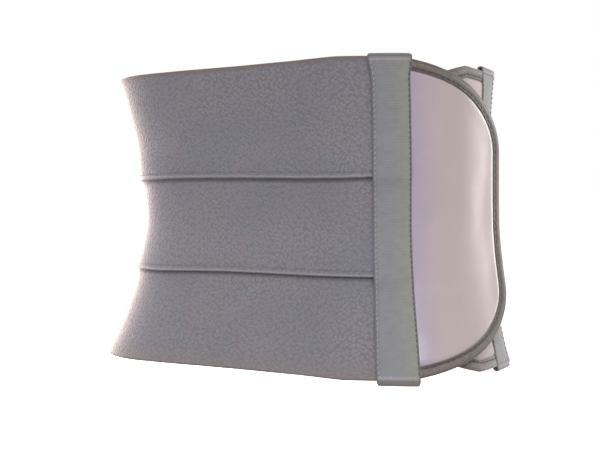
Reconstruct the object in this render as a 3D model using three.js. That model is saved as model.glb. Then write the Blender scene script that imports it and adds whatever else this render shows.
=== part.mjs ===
// Abdominal binder in its closed form: three elastic panels that go round the waist, with a bound
// flap on each end. The closure flap laps over the under flap at the left of the front.
// Millimetres. The front faces -Y, the left side as worn is +X, and up is +Z. The origin is the
// middle of the hollow, at half the binder's height.
import * as THREE from "three";

// Height of the binder, and the levels of its waist and of its two lapped seams
const binderHeight = 229;
const waistDrop = 2;
const topPanelHeight = 84.5;
const middlePanelHeight = 72.5;

// Half sizes of the hollow at the top rim, at the waist and at the bottom rim
const topHalfWidth = 153;
const waistHalfWidthRight = 132.5;
const waistHalfWidthLeft = 144.5;
const bottomHalfWidth = 167;
const topHalfDepth = 103.5;
const waistHalfDepth = 83;
const bottomHalfDepth = 101.5;
const cornerPower = 3.1;
const flarePower = 1.72;

// Polar angle of the front tape's middle at the top rim, at the waist and at the bottom rim
const tapeAngleTop = -36.3;
const tapeAngleWaist = -31.5;
const tapeAngleBottom = -34.6;

// Walls, and the clearance between one piece and the next
const elasticWall = 2;
const flapWall = 1.5;
const bindingWall = 1;
const tapeWall = 1.2;
const clearance = 0.3;

// Lapped seam: the upper panel's hem lies over the lower panel and ends in a raised rib
const lapHeight = 8;
const lapEase = 30;
const ribRise = 0.7;
const ribHeight = 3;

// Tape: its width, how its ends spread, over which height at the top and at the bottom, its folds
// over the rims and the part turned inside
const tapeWidth = 24.5;
const tapeSpread = 3.5;
const tapeSpreadTop = 16;
const tapeSpreadBottom = 90;
const tapeFoldRoom = 0.8;
const tapeReturn = 10;

// Flaps: reach from the tape's middle, rounded outline, the straight length that the under flap
// has before it, how far the tapes lie apart, and how the closure flap stands off
const flapReach = 104;
const flapShoulderDrop = 1.5;
const flapEndHeight = 100;
const bindingWidth = 8;
const underStraight = 30;
const wrapOverlap = 112;
const liftStart = 30;
const liftTop = 8;
const liftBottom = 13;
const climbLength = 45;

// Hook pad between the flaps
const padStart = 24;
const padWidth = 38;
const padHeight = 156;

// Spacing of the mesh's columns and rows
const columnStep = 17;
const fineStep = 8;
const flapRows = 12;
const walkStep = 0.5;

// Derived levels and layers. A layer is a distance outwards from the hollow.
const rim = binderHeight / 2;
const upperSeam = rim - topPanelHeight;
const lowerSeam = upperSeam - middlePanelHeight;
const lapRise = elasticWall + clearance;
const channel = bindingWall + clearance;
const flapStack = 2 * channel + flapWall;
const overBase = flapStack + clearance;
const tipStation = wrapOverlap - underStraight - flapReach;

// A size at height z that goes from its waist value out to its rim values
function atLevel(z, top, waist, bottom) {
  const above = z > -waistDrop;
  const reach = above ? rim + waistDrop : rim - waistDrop;
  const share = Math.abs(z + waistDrop) / reach;
  const end = above ? top : bottom;
  return waist + (end - waist) * share ** flarePower;
}

// Point and outward normal of the hollow at a polar angle: a rounded, slightly square section
function hollowPoint(angle, z) {
  const waistWidth = Math.cos(angle) < 0 ? waistHalfWidthRight : waistHalfWidthLeft;
  const a = atLevel(z, topHalfWidth, waistWidth, bottomHalfWidth);
  const b = atLevel(z, topHalfDepth, waistHalfDepth, bottomHalfDepth);
  const c = Math.cos(angle);
  const s = Math.sin(angle);
  const sum = Math.abs(c / a) ** cornerPower + Math.abs(s / b) ** cornerPower;
  const radius = sum ** (-1 / cornerPower);
  const x = radius * c;
  const y = radius * s;
  const nx = (Math.sign(x) * Math.abs(x / a) ** (cornerPower - 1)) / a;
  const ny = (Math.sign(y) * Math.abs(y / b) ** (cornerPower - 1)) / b;
  const length = Math.hypot(nx, ny);
  return { x, y, nx: nx / length, ny: ny / length };
}

// Table of the length walked round the hollow at height z, counted from the front tape's middle
const walks = new Map();
function walk(z) {
  const key = z.toFixed(4);
  if (walks.has(key)) return walks.get(key);
  const middle = atLevel(z, tapeAngleTop, tapeAngleWaist, tapeAngleBottom);
  const steps = 360 / walkStep;
  const lengths = [0];
  let last = hollowPoint(THREE.MathUtils.degToRad(middle), z);
  for (let i = 1; i <= steps; i++) {
    const next = hollowPoint(THREE.MathUtils.degToRad(middle + i * walkStep), z);
    lengths.push(lengths[i - 1] + Math.hypot(next.x - last.x, next.y - last.y));
    last = next;
  }
  const table = { middle, lengths, round: lengths[steps] };
  walks.set(key, table);
  return table;
}

// Polar angle at a station, which is a length walked from the front tape's middle towards +X
function angleAt(station, z) {
  const { middle, lengths, round } = walk(z);
  const turns = Math.floor(station / round);
  const rest = station - turns * round;
  let low = 0;
  let high = lengths.length - 1;
  while (high - low > 1) {
    const half = (low + high) >> 1;
    if (lengths[half] > rest) high = half;
    else low = half;
  }
  const part = (rest - lengths[low]) / (lengths[high] - lengths[low]);
  return THREE.MathUtils.degToRad(middle + (low + part) * walkStep + turns * 360);
}

// Point at a station and height, a layer's distance out from the hollow
function place(station, z, out) {
  const p = hollowPoint(angleAt(station, z), z);
  return new THREE.Vector3(p.x + out * p.nx, p.y + out * p.ny, z);
}

// Closed wall over a grid: point(i, j, face) gives its back (face 0) and its front (face 1)
function wall(columns, rows, point) {
  const across = rows + 1;
  const positions = [];
  for (let face = 0; face < 2; face++) {
    for (let i = 0; i <= columns; i++) {
      for (let j = 0; j <= rows; j++) positions.push(...point(i, j, face).toArray());
    }
  }
  const at = (i, j, face) => face * (columns + 1) * across + i * across + j;
  const index = [];
  const quad = (a, b, c, d) => index.push(a, b, c, a, c, d);
  for (let i = 0; i < columns; i++) {
    for (let j = 0; j < rows; j++) {
      quad(at(i, j, 1), at(i + 1, j, 1), at(i + 1, j + 1, 1), at(i, j + 1, 1));
      quad(at(i, j, 0), at(i, j + 1, 0), at(i + 1, j + 1, 0), at(i + 1, j, 0));
    }
    quad(at(i, 0, 0), at(i + 1, 0, 0), at(i + 1, 0, 1), at(i, 0, 1));
    quad(at(i, rows, 1), at(i + 1, rows, 1), at(i + 1, rows, 0), at(i, rows, 0));
  }
  for (let j = 0; j < rows; j++) {
    quad(at(0, j, 1), at(0, j + 1, 1), at(0, j + 1, 0), at(0, j, 0));
    quad(at(columns, j, 0), at(columns, j + 1, 0), at(columns, j + 1, 1), at(columns, j, 1));
  }
  const geometry = new THREE.BufferGeometry();
  geometry.setAttribute("position", new THREE.Float32BufferAttribute(positions, 3));
  geometry.setIndex(facedOut(positions, index));
  geometry.computeVertexNormals();
  return geometry;
}

// The same triangles, turned round if they enclose a negative volume
function facedOut(positions, index) {
  const corner = (k) => new THREE.Vector3().fromArray(positions, 3 * index[k]);
  let volume = 0;
  for (let k = 0; k < index.length; k += 3) {
    volume += corner(k).dot(corner(k + 1).cross(corner(k + 2)));
  }
  return volume < 0 ? index.reverse() : index;
}

function smooth(share) {
  return THREE.MathUtils.smoothstep(share, 0, 1);
}

// Elastic panels

// Length of the elastic at height z, from the under tape's middle to the front tape's middle
function elasticLength(z) {
  return walk(z).round - wrapOverlap;
}

// Columns close together where the elastic passes over the under flap and under the back tape
const frontFine = Math.ceil((climbLength - tipStation + tapeWidth) / fineStep);
const farFine = Math.ceil(tapeWidth / fineStep);
const fineLength = (frontFine + farFine) * fineStep;
const plainColumns = Math.round((elasticLength(0) - fineLength) / columnStep);
const elasticColumns = farFine + plainColumns + frontFine;

function elasticStation(column, z) {
  const far = -elasticLength(z) + clearance / 2;
  const front = -clearance / 2;
  if (column <= farFine) return far + column * fineStep;
  const left = elasticColumns - column;
  if (left <= frontFine) return front - left * fineStep;
  const share = (column - farFine) / plainColumns;
  return THREE.MathUtils.lerp(far + farFine * fineStep, front - frontFine * fineStep, share);
}

// The elastic climbs from the hollow over the under flap's end
function elasticBase(station) {
  const climbEnd = tipStation - 2 * clearance - fineStep;
  return overBase * smooth((station - climbEnd + climbLength) / climbLength);
}

// How far a hem stands out at a height above its panel's lower edge
function hemRise(up) {
  return lapRise * smooth((lapHeight + clearance + lapEase - up) / lapEase);
}

// Rows of a lapped hem: height above the panel's edge and what the rib adds to its front, as
// shares of the rib
const hemRows = [
  { up: 0, rib: 0.35 },
  { up: 0.3, rib: 1 },
  { up: 0.7, rib: 1 },
  { up: 1, rib: 0 },
];
// Rows where the hem eases back to the body, as shares of the ease
const easeRows = [0, 0.3, 0.65, 1];

// Rows of one panel: { z, rise, rib }, from its lower edge to its upper one
function panelRows(lower, upper, hasHem, isTucked) {
  const rows = [];
  if (hasHem) {
    for (const row of hemRows) rows.push({ z: lower + row.up * ribHeight, rib: row.rib * ribRise });
    for (const share of easeRows) {
      rows.push({ z: lower + lapHeight + clearance + share * lapEase, rib: 0 });
    }
    for (const row of rows) row.rise = hemRise(row.z - lower);
  } else {
    rows.push({ z: lower, rib: 0, rise: 0 });
  }
  const start = rows[rows.length - 1].z;
  const count = Math.round((upper - start) / columnStep);
  for (let i = 1; i <= count; i++) {
    rows.push({ z: start + ((upper - start) * i) / count, rib: 0, rise: 0 });
  }
  if (isTucked) rows.push({ z: upper + lapHeight, rib: 0, rise: 0 });
  return rows;
}

const elasticPanels = [
  { name: "elastic_panel_top", rows: panelRows(upperSeam, rim, true, false) },
  { name: "elastic_panel_middle", rows: panelRows(lowerSeam, upperSeam, true, true) },
  { name: "elastic_panel_bottom", rows: panelRows(-rim, lowerSeam, false, true) },
];

function elasticPanel(rows) {
  return wall(elasticColumns, rows.length - 1, (i, j, face) => {
    const { z, rise, rib } = rows[j];
    const station = elasticStation(i, z);
    const front = face ? elasticWall + rib : 0;
    return place(station, z, elasticBase(station) + rise + front);
  });
}

// Flaps

// Upper half of a flap's outline, from the tape to the straight end: x is the reach from the
// tape's middle and y the height
const tapeEdge = (tapeWidth + tapeSpread) / 2 + clearance;
const shoulder = new THREE.Vector2(tapeEdge, rim - flapShoulderDrop);
const endCorner = new THREE.Vector2(flapReach, flapEndHeight / 2);
const taperPull = { reach: 0.5, drop: 0.14 };
const cornerPull = 0.54;
const outline = new THREE.CubicBezierCurve(
  shoulder,
  new THREE.Vector2(
    THREE.MathUtils.lerp(shoulder.x, endCorner.x, taperPull.reach),
    THREE.MathUtils.lerp(shoulder.y, endCorner.y, taperPull.drop),
  ),
  new THREE.Vector2(endCorner.x, THREE.MathUtils.lerp(endCorner.y, shoulder.y, cornerPull)),
  endCorner,
);
const outlineSteps = Math.round(outline.getLength() / fineStep);

// Points and directions into the flap along the upper half: a straight length, then the outline
function upperHalf(straight) {
  const stations = [];
  const steps = Math.round(straight / fineStep);
  for (let i = 0; i < steps; i++) {
    const point = new THREE.Vector2(shoulder.x + (straight * i) / steps, shoulder.y);
    stations.push({ point, inward: new THREE.Vector2(0, -1) });
  }
  for (let step = 0; step <= outlineSteps; step++) {
    const point = outline.getPointAt(step / outlineSteps);
    const along = outline.getTangentAt(step / outlineSteps);
    point.x += straight;
    stations.push({ point, inward: new THREE.Vector2(along.y, -along.x) });
  }
  return stations;
}

// How a flap lies: its straight length, its station at a reach from its tape, and its innermost
// layer. The closure flap's end stands off, and the under flap reaches back below it.
const closureLay = {
  straight: 0,
  station: (reach) => reach,
  base: (reach, z) => {
    const share = Math.max(0, reach - liftStart) / (flapReach - liftStart);
    const lift = THREE.MathUtils.mapLinear(z, -rim, rim, liftBottom, liftTop);
    return overBase + lift * share * share;
  },
};
const underLay = {
  straight: underStraight,
  station: (reach) => wrapOverlap - reach,
  base: () => 0,
};

// The panel starts under the tape and its edge sits in the folded binding
function flapPanel(lay) {
  const edges = upperHalf(lay.straight).map(({ point, inward }) => {
    return point.clone().addScaledVector(inward, channel);
  });
  const underTape = [clearance / 2, tapeEdge / 2];
  const columns = underTape.map((x) => new THREE.Vector2(x, edges[0].y)).concat(edges);
  return wall(columns.length - 1, flapRows, (i, j, face) => {
    const reach = columns[i].x;
    const z = columns[i].y * THREE.MathUtils.mapLinear(j, 0, flapRows, -1, 1);
    return place(lay.station(reach), z, lay.base(reach, z) + channel + face * flapWall);
  });
}

// Binding folded round the flap's edge: how far its front and back reach inwards from the
// outline, and their height above the flap's innermost layer
const foldBevel = 0.8;
const foldBack = 0.2;
const bindingRows = [
  { frontIn: bindingWidth, front: flapStack, backIn: bindingWidth, back: flapStack - bindingWall },
  {
    frontIn: foldBevel,
    front: flapStack,
    backIn: bindingWall + foldBack,
    back: flapStack - bindingWall,
  },
  {
    frontIn: 0,
    front: flapStack - foldBevel,
    backIn: bindingWall,
    back: flapStack - bindingWall - foldBack,
  },
  { frontIn: 0, front: foldBevel, backIn: bindingWall, back: bindingWall + foldBack },
  { frontIn: foldBevel, front: 0, backIn: bindingWall + foldBack, back: bindingWall },
  { frontIn: bindingWidth, front: 0, backIn: bindingWidth, back: bindingWall },
];

// Stations of the whole outline: the upper half, the straight end and the lower half
function bindingPath(straight) {
  const upper = upperHalf(straight);
  const lower = upper.toReversed().map(({ point, inward }) => ({
    point: new THREE.Vector2(point.x, -point.y),
    inward: new THREE.Vector2(inward.x, -inward.y),
  }));
  const end = [];
  const steps = Math.round(flapEndHeight / fineStep);
  for (let i = 1; i < steps; i++) {
    const z = THREE.MathUtils.mapLinear(i, 0, steps, 1, -1) * endCorner.y;
    const point = new THREE.Vector2(endCorner.x + straight, z);
    end.push({ point, inward: new THREE.Vector2(-1, 0) });
  }
  return [...upper, ...end, ...lower];
}

function flapBinding(lay) {
  const path = bindingPath(lay.straight);
  return wall(path.length - 1, bindingRows.length - 1, (i, j, face) => {
    const row = bindingRows[j];
    const { point, inward } = path[i];
    const p = point.clone().addScaledVector(inward, face ? row.frontIn : row.backIn);
    const reach = Math.max(p.x, tapeEdge);
    const out = lay.base(reach, p.y) + (face ? row.front : row.back);
    return place(lay.station(reach), p.y, out);
  });
}

// Tapes

const tapeColumns = 4;
const foldSteps = 4;

function tapeHalfWidth(z) {
  const spreadHeight = z > 0 ? tapeSpreadTop : tapeSpreadBottom;
  const near = smooth((Math.abs(z) - rim + spreadHeight) / spreadHeight);
  return (tapeWidth + tapeSpread * near) / 2;
}

// Heights where the tape bends, which are the rows of the panels under it
const tapeLevels = elasticPanels
  .flatMap((panel) => panel.rows)
  .filter((row) => Math.abs(row.z) < rim - fineStep / 2)
  .map((row) => row.z)
  .sort((a, b) => a - b);

// Height of the panels' front under the tape, with their hems
function hemAt(z) {
  if (z >= upperSeam) return hemRise(z - upperSeam) + ribRise * (z < upperSeam + ribHeight);
  if (z >= lowerSeam) return hemRise(z - lowerSeam) + ribRise * (z < lowerSeam + ribHeight);
  return 0;
}

// Rows of the folded tape: { z, back, front }, from the turned-in end at the bottom, out round
// the bottom rim, up the outside and in over the top rim
function tapeRows(elasticLayer, flapFront) {
  const inside = elasticLayer - clearance;
  const outside = flapFront + clearance;
  const middle = (inside + outside) / 2;
  const room = (outside - inside) / 2;
  const rows = [];
  const fold = (side, step) => {
    const turn = (Math.PI * step) / foldSteps;
    const reach = Math.cos(turn) * side;
    const up = Math.sin(turn);
    const start = rim + clearance;
    rows.push({
      backOut: middle + reach * room,
      backZ: side * (start + up * tapeFoldRoom),
      frontOut: middle + reach * (room + tapeWall),
      frontZ: side * (start + up * (tapeFoldRoom + tapeWall)),
    });
  };
  const inner = (z) => {
    rows.push({ backOut: inside, backZ: z, frontOut: inside - tapeWall, frontZ: z });
  };
  inner(tapeReturn - rim);
  for (let step = 0; step <= foldSteps; step++) fold(-1, step);
  for (const z of tapeLevels) {
    const out = Math.max(outside, elasticLayer + elasticWall + hemAt(z) + clearance);
    rows.push({ backOut: out, backZ: z, frontOut: out + tapeWall, frontZ: z });
  }
  for (let step = 0; step <= foldSteps; step++) fold(1, step);
  inner(rim - tapeReturn);
  return rows;
}

function tape(middle, elasticLayer, flapFront) {
  const rows = tapeRows(elasticLayer, flapFront);
  return wall(tapeColumns, rows.length - 1, (i, j, face) => {
    const row = rows[j];
    const z = face ? row.frontZ : row.backZ;
    const share = THREE.MathUtils.mapLinear(i, 0, tapeColumns, -1, 1);
    return place(middle + share * tapeHalfWidth(z), z, face ? row.frontOut : row.backOut);
  });
}

// Hook pad: fills the room between the under flap's face and the closure flap's back
function hookPad() {
  const columns = Math.ceil(padWidth / fineStep);
  const rows = Math.ceil(padHeight / columnStep);
  return wall(columns, rows, (i, j, face) => {
    const reach = padStart + (padWidth * i) / columns;
    const z = THREE.MathUtils.mapLinear(j, 0, rows, -1, 1) * (padHeight / 2);
    const under = channel + flapWall + clearance;
    const over = closureLay.base(reach, z) + channel - clearance;
    return place(reach, z, face ? over : under);
  });
}

// Finishes
const elasticCloth = new THREE.MeshStandardMaterial({ color: "#7c7880", roughness: 0.9 });
const satin = new THREE.MeshStandardMaterial({ color: "#b4a6ae", roughness: 0.5 });
const bindingCloth = new THREE.MeshStandardMaterial({ color: "#776e6c", roughness: 0.8 });
const tapeCloth = new THREE.MeshStandardMaterial({ color: "#89888c", roughness: 0.8 });
const hookPlastic = new THREE.MeshStandardMaterial({ color: "#8a8388", roughness: 0.6 });

function piece(name, geometry, material) {
  const mesh = new THREE.Mesh(geometry, material);
  mesh.name = name;
  return mesh;
}

const binder = new THREE.Group();
for (const panel of elasticPanels) {
  binder.add(piece(panel.name, elasticPanel(panel.rows), elasticCloth));
}
binder.add(piece("closure_flap", flapPanel(closureLay), satin));
binder.add(piece("closure_flap_binding", flapBinding(closureLay), bindingCloth));
binder.add(piece("under_flap", flapPanel(underLay), satin));
binder.add(piece("under_flap_binding", flapBinding(underLay), bindingCloth));
binder.add(piece("front_tape", tape(0, overBase, overBase + channel + flapWall), tapeCloth));
binder.add(piece("under_tape", tape(wrapOverlap, 0, channel + flapWall), tapeCloth));
binder.add(piece("hook_pad", hookPad(), hookPlastic));

export default binder;
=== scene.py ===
"""Abdominal binder in its closed form: lapped elastic panels, with a bound satin flap on each end.

Every sewn piece is first made flat, as it is cut and sewn, and is then wrapped round the hollow. In
the flat state x is the length walked round the waist from the front tape's middle, y is the height
and z stands out from the hollow. Metres. The front faces -Y and the left side as worn is +X.
"""

import logging
import math
from bisect import bisect_right
from dataclasses import dataclass, field
from enum import Enum
from itertools import accumulate
from typing import Callable, Sequence

import bmesh
import bpy
from bmesh.types import BMesh
from bpy.types import ID, Material, Mesh, NodeSocket, NodeTree, Object
from mathutils import Matrix, Vector, noise
from mathutils.kdtree import KDTree


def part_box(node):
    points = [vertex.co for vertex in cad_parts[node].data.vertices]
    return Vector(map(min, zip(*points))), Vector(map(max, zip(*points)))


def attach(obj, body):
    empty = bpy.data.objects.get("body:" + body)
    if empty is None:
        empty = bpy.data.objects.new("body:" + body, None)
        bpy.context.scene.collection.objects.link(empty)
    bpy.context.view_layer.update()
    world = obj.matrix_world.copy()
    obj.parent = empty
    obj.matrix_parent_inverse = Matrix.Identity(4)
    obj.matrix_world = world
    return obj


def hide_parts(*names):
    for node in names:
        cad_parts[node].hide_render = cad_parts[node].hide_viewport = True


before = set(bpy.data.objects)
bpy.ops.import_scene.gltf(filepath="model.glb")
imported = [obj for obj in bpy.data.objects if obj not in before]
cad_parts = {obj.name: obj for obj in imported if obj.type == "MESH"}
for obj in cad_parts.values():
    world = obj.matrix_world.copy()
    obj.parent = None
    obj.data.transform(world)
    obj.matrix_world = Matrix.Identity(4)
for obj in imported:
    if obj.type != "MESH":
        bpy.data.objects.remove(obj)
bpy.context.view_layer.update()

LOG = logging.getLogger("binder")
UV_NAME = "cut"
SHARP_EDGE = math.radians(60)


def smooth(share: float) -> float:
    """Returns the share from 0 to 1 with a soft start and end."""
    share = min(1.0, max(0.0, share))
    return share * share * (3 - 2 * share)


def lerp(start: float, end: float, share: float) -> float:
    """Returns the value at a share of the way from start to end."""
    return start + (end - start) * share


def graded(stops: Sequence[float], share: float) -> float:
    """Finds the value at a share of the way through a list.

    Args:
        stops: Values in order.
        share: Place in the list, from 0 to 1.

    Returns:
        The value there, between two stops where it has to be.
    """
    place = min(max(share, 0.0), 1.0) * (len(stops) - 1)
    low = min(int(place), len(stops) - 2)
    return lerp(stops[low], stops[low + 1], place - low)


def dip(distance: float, width: float) -> float:
    """Returns the depth, from 0 to 1, of a round bottomed channel at a distance from its middle."""
    return 1.0 - smooth(abs(distance) / (width / 2))


def walked(points: Sequence[Vector]) -> list[float]:
    """Returns the length walked along a line up to each of its points."""
    return list(accumulate(((b - a).length for a, b in zip(points, points[1:])), initial=0.0))


def found(lengths: Sequence[float], wanted: float) -> tuple[int, float]:
    """Finds a length on a line that was walked.

    Args:
        lengths: The length up to each point.
        wanted: The length that is looked for.

    Returns:
        The number of the point before it, and the share of the way to the next point.
    """
    low = min(bisect_right(lengths, wanted) - 1, len(lengths) - 2)
    gap = lengths[low + 1] - lengths[low]
    return low, (wanted - lengths[low]) / gap if gap else 0.0


def spaced(points: Sequence[Vector], step: float) -> list[Vector]:
    """Spaces points evenly along a line.

    Args:
        points: Points of the line.
        step: Distance that is wanted between them.

    Returns:
        The new points, with the first and last ones kept.
    """
    lengths = walked(points)
    count = round(lengths[-1] / step)
    places = [found(lengths, lengths[-1] * i / count) for i in range(count + 1)]
    return [points[low].lerp(points[low + 1], part) for low, part in places]


# The hollow and the layers on it


@dataclass
class Torso:
    """The hollow that the binder closes round: a slightly square section that flares to both rims."""

    rim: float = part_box("elastic_panel_top")[1].z
    waist_drop: float = 0.002
    top_half_width: float = 0.153
    waist_half_width_right: float = 0.1325
    waist_half_width_left: float = 0.1445
    bottom_half_width: float = 0.167
    top_half_depth: float = 0.1035
    waist_half_depth: float = 0.083
    bottom_half_depth: float = 0.1015
    corner_power: float = 3.1
    flare_power: float = 1.72
    tape_angle_top: float = -36.3
    tape_angle_waist: float = -31.5
    tape_angle_bottom: float = -34.6
    walk_step: float = 1.0
    level_step: float = 0.002
    walks: dict[int, tuple[float, list[float]]] = field(default_factory=dict)

    def at_level(self, z: float, top: float, waist: float, bottom: float) -> float:
        """Finds a size at one height.

        Args:
            z: Height.
            top: The size at the top rim.
            waist: The size at the waist.
            bottom: The size at the bottom rim.

        Returns:
            The size at that height.
        """
        above = z > -self.waist_drop
        reach = self.rim + self.waist_drop if above else self.rim - self.waist_drop
        share = abs(z + self.waist_drop) / reach
        return waist + ((top if above else bottom) - waist) * share**self.flare_power

    def section(self, angle: float, z: float) -> tuple[Vector, Vector]:
        """Finds a point of the hollow.

        Args:
            angle: Polar angle in radians.
            z: Height.

        Returns:
            The point and the level direction out of the hollow there.
        """
        c = math.cos(angle)
        s = math.sin(angle)
        waist = self.waist_half_width_right if c < 0 else self.waist_half_width_left
        a = self.at_level(z, self.top_half_width, waist, self.bottom_half_width)
        b = self.at_level(z, self.top_half_depth, self.waist_half_depth, self.bottom_half_depth)
        power = self.corner_power
        radius = (abs(c / a) ** power + abs(s / b) ** power) ** (-1 / power)
        out = Vector((
            math.copysign(abs(radius * c / a) ** (power - 1), c) / a,
            math.copysign(abs(radius * s / b) ** (power - 1), s) / b,
            0.0,
        ))
        return Vector((radius * c, radius * s, z)), out.normalized()

    def walk(self, level: int) -> tuple[float, list[float]]:
        """Walks once round the hollow at a level, from the front tape's middle, and keeps the result.

        Args:
            level: Height as a whole number of level steps.

        Returns:
            The polar angle at the start, in degrees, and the length walked after each step.
        """
        if level not in self.walks:
            z = level * self.level_step
            start = self.at_level(z, self.tape_angle_top, self.tape_angle_waist, self.tape_angle_bottom)
            angles = [start + step * self.walk_step for step in range(round(360 / self.walk_step) + 1)]
            self.walks[level] = (start, walked([self.section(math.radians(a), z)[0] for a in angles]))
        return self.walks[level]

    def levels(self, z: float) -> tuple[int, float]:
        """Returns the level below a height, and the share of the way to the next level."""
        low = math.floor(z / self.level_step)
        return low, z / self.level_step - low

    def round_at(self, z: float) -> float:
        """Returns the length round the hollow at a height."""
        low, share = self.levels(z)
        return lerp(self.walk(low)[1][-1], self.walk(low + 1)[1][-1], share)

    def angle_on(self, level: int, station: float) -> float:
        """Returns the polar angle, in degrees, at a length walked round one level."""
        start, lengths = self.walk(level)
        turns = math.floor(station / lengths[-1])
        low, part = found(lengths, station - turns * lengths[-1])
        return start + (low + part) * self.walk_step + 360 * turns

    def place(self, station: float, z: float, out: float) -> Vector:
        """Finds the point at a length walked round the hollow.

        Args:
            station: Length walked from the front tape's middle towards +X.
            z: Height.
            out: Distance out from the hollow.

        Returns:
            The point.
        """
        low, share = self.levels(z)
        angle = lerp(self.angle_on(low, station), self.angle_on(low + 1, station), share)
        point, normal = self.section(math.radians(angle), z)
        return point + normal * out


@dataclass(frozen=True)
class Layers:
    """Walls of the cloths, the levels at which they lie on the hollow, and the tapes' width."""

    elastic: float = 0.002
    flap: float = 0.0015
    binding: float = 0.001
    tape: float = 0.0012
    clearance: float = 0.0003
    wrap_overlap: float = 0.112
    tape_width: float = 0.0245
    tape_spread: float = 0.0035
    spread_top: float = 0.016
    spread_bottom: float = 0.09

    @property
    def lap_rise(self) -> float:
        """How far a hem stands out over the panel below it."""
        return self.elastic + self.clearance

    @property
    def channel(self) -> float:
        """How far a flap's face lies in from the outside of its binding."""
        return self.binding + self.clearance

    @property
    def flap_stack(self) -> float:
        """Thickness of a bound flap."""
        return 2 * self.channel + self.flap

    @property
    def over_base(self) -> float:
        """Level of what lies over the under flap."""
        return self.flap_stack + self.clearance

    @property
    def tape_edge(self) -> float:
        """Reach at which a flap comes out from under its tape at the rims, where the tape is widest."""
        return (self.tape_width + self.tape_spread) / 2 + self.clearance

    def half_tape(self, y: float, rim: float) -> float:
        """Returns half the width of a tape at a height: it spreads towards the rims."""
        spread = self.spread_top if y > 0 else self.spread_bottom
        near = smooth((abs(y) - rim + spread) / spread)
        return (self.tape_width + self.tape_spread * near) / 2


# Flat meshes and how they become pieces


Shape = Callable[[float, float], Vector]


def flat_grid(columns: int, rows: int, shape: Shape, cut: Shape | None = None) -> BMesh:
    """Makes a grid and gives each of its points a place.

    Args:
        columns: Number of faces along x.
        rows: Number of faces along y.
        shape: Place in the flat state for shares from 0 to 1 along x and y.
        cut: Place on the cloth as it was cut, where that isn't x and y of the flat state.

    Returns:
        The grid, with one layer of faces.
    """
    mesh = bmesh.new()
    bmesh.ops.create_grid(mesh, x_segments=columns, y_segments=rows, size=0.5)
    layer = mesh.verts.layers.float_vector.new(UV_NAME)
    for vert in mesh.verts:
        u = vert.co.x + 0.5
        v = vert.co.y + 0.5
        vert.co = shape(u, v)
        vert[layer] = cut(u, v) if cut else vert.co
    mesh.normal_update()
    return mesh


def thicken(mesh: BMesh, wall: float) -> None:
    """Gives a sheet its wall, half of it on each side of the layer of faces.

    Args:
        mesh: The sheet.
        wall: Thickness of the cloth.
    """
    for vert in mesh.verts:
        vert.co += vert.normal * (wall / 2)
    bmesh.ops.solidify(mesh, geom=mesh.faces[:], thickness=wall)
    mesh.normal_update()


def soften_edges(mesh: BMesh, radius: float, segments: int = 2) -> None:
    """Rounds the sharp edges of a wall.

    Args:
        mesh: The wall.
        radius: How far the rounding reaches.
        segments: Faces across the rounding.
    """
    sharp = [edge for edge in mesh.edges if edge.is_manifold and edge.calc_face_angle() > SHARP_EDGE]
    bmesh.ops.bevel(
        mesh,
        geom=sharp,
        offset=radius,
        offset_type="OFFSET",
        affect="EDGES",
        segments=segments,
        profile=0.5,
        material=-1,
        clamp_overlap=True,
    )


def wrapped(mesh: BMesh, wrap: Callable[[Vector], Vector]) -> None:
    """Writes each point's place on the cut cloth, in metres, as the UV map, and wraps the mesh.

    Args:
        mesh: The flat mesh.
        wrap: Takes a point of the flat state to its place on the hollow.
    """
    cut = mesh.verts.layers.float_vector.get(UV_NAME)
    layer = mesh.loops.layers.uv.new(UV_NAME)
    for face in mesh.faces:
        for loop in face.loops:
            place = loop.vert[cut] if cut else loop.vert.co
            loop[layer].uv = (place[0], place[1])
    if cut:
        mesh.verts.layers.float_vector.remove(cut)
    for vert in mesh.verts:
        vert.co = wrap(vert.co)


def repeated(mesh: BMesh, count: int) -> dict[int, list[bmesh.types.BMVert]]:
    """Copies a small shape by doubling it until there are enough of it.

    Args:
        mesh: The shape, which becomes all the copies.
        count: Number of copies that are wanted.

    Returns:
        The points of each copy, by its number.
    """
    number = mesh.verts.layers.int.new("copy")
    made = 1
    while made < count:
        copied = bmesh.ops.duplicate(mesh, geom=mesh.verts[:] + mesh.edges[:] + mesh.faces[:])
        for vert in copied["geom"]:
            if isinstance(vert, bmesh.types.BMVert):
                vert[number] += made
        made *= 2
    spare = [vert for vert in mesh.verts if vert[number] >= count]
    bmesh.ops.delete(mesh, geom=spare, context="VERTS")
    copies: dict[int, list[bmesh.types.BMVert]] = {}
    for vert in mesh.verts:
        copies.setdefault(vert[number], []).append(vert)
    return copies


def as_data(name: str, mesh: BMesh) -> Mesh:
    """Turns a mesh into the data of an object, and frees it."""
    data = bpy.data.meshes.new(name)
    mesh.to_mesh(data)
    mesh.free()
    return data


def placed(name: str, data: ID) -> Object:
    """Puts an object with its data into the scene."""
    made = bpy.data.objects.new(name, data)
    bpy.context.scene.collection.objects.link(made)
    return made


def finished_piece(name: str, mesh: BMesh, material: Material, nodes: Sequence[str]) -> Object:
    """Turns a wrapped mesh into a piece that rides on the frame.

    Args:
        name: Name of the piece.
        mesh: Its mesh, in the frame's place. It is freed.
        material: Its finish.
        nodes: CAD nodes that it stands for.

    Returns:
        The piece.
    """
    bmesh.ops.recalc_face_normals(mesh, faces=mesh.faces[:])
    for face in mesh.faces:
        face.smooth = True
    data = as_data(name, mesh)
    data.materials.append(material)
    piece = placed(name, data)
    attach(piece, "root")
    if nodes:
        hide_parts(*nodes)
    LOG.info("%s: %d faces", name, len(data.polygons))
    return piece


# Finishes


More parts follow.
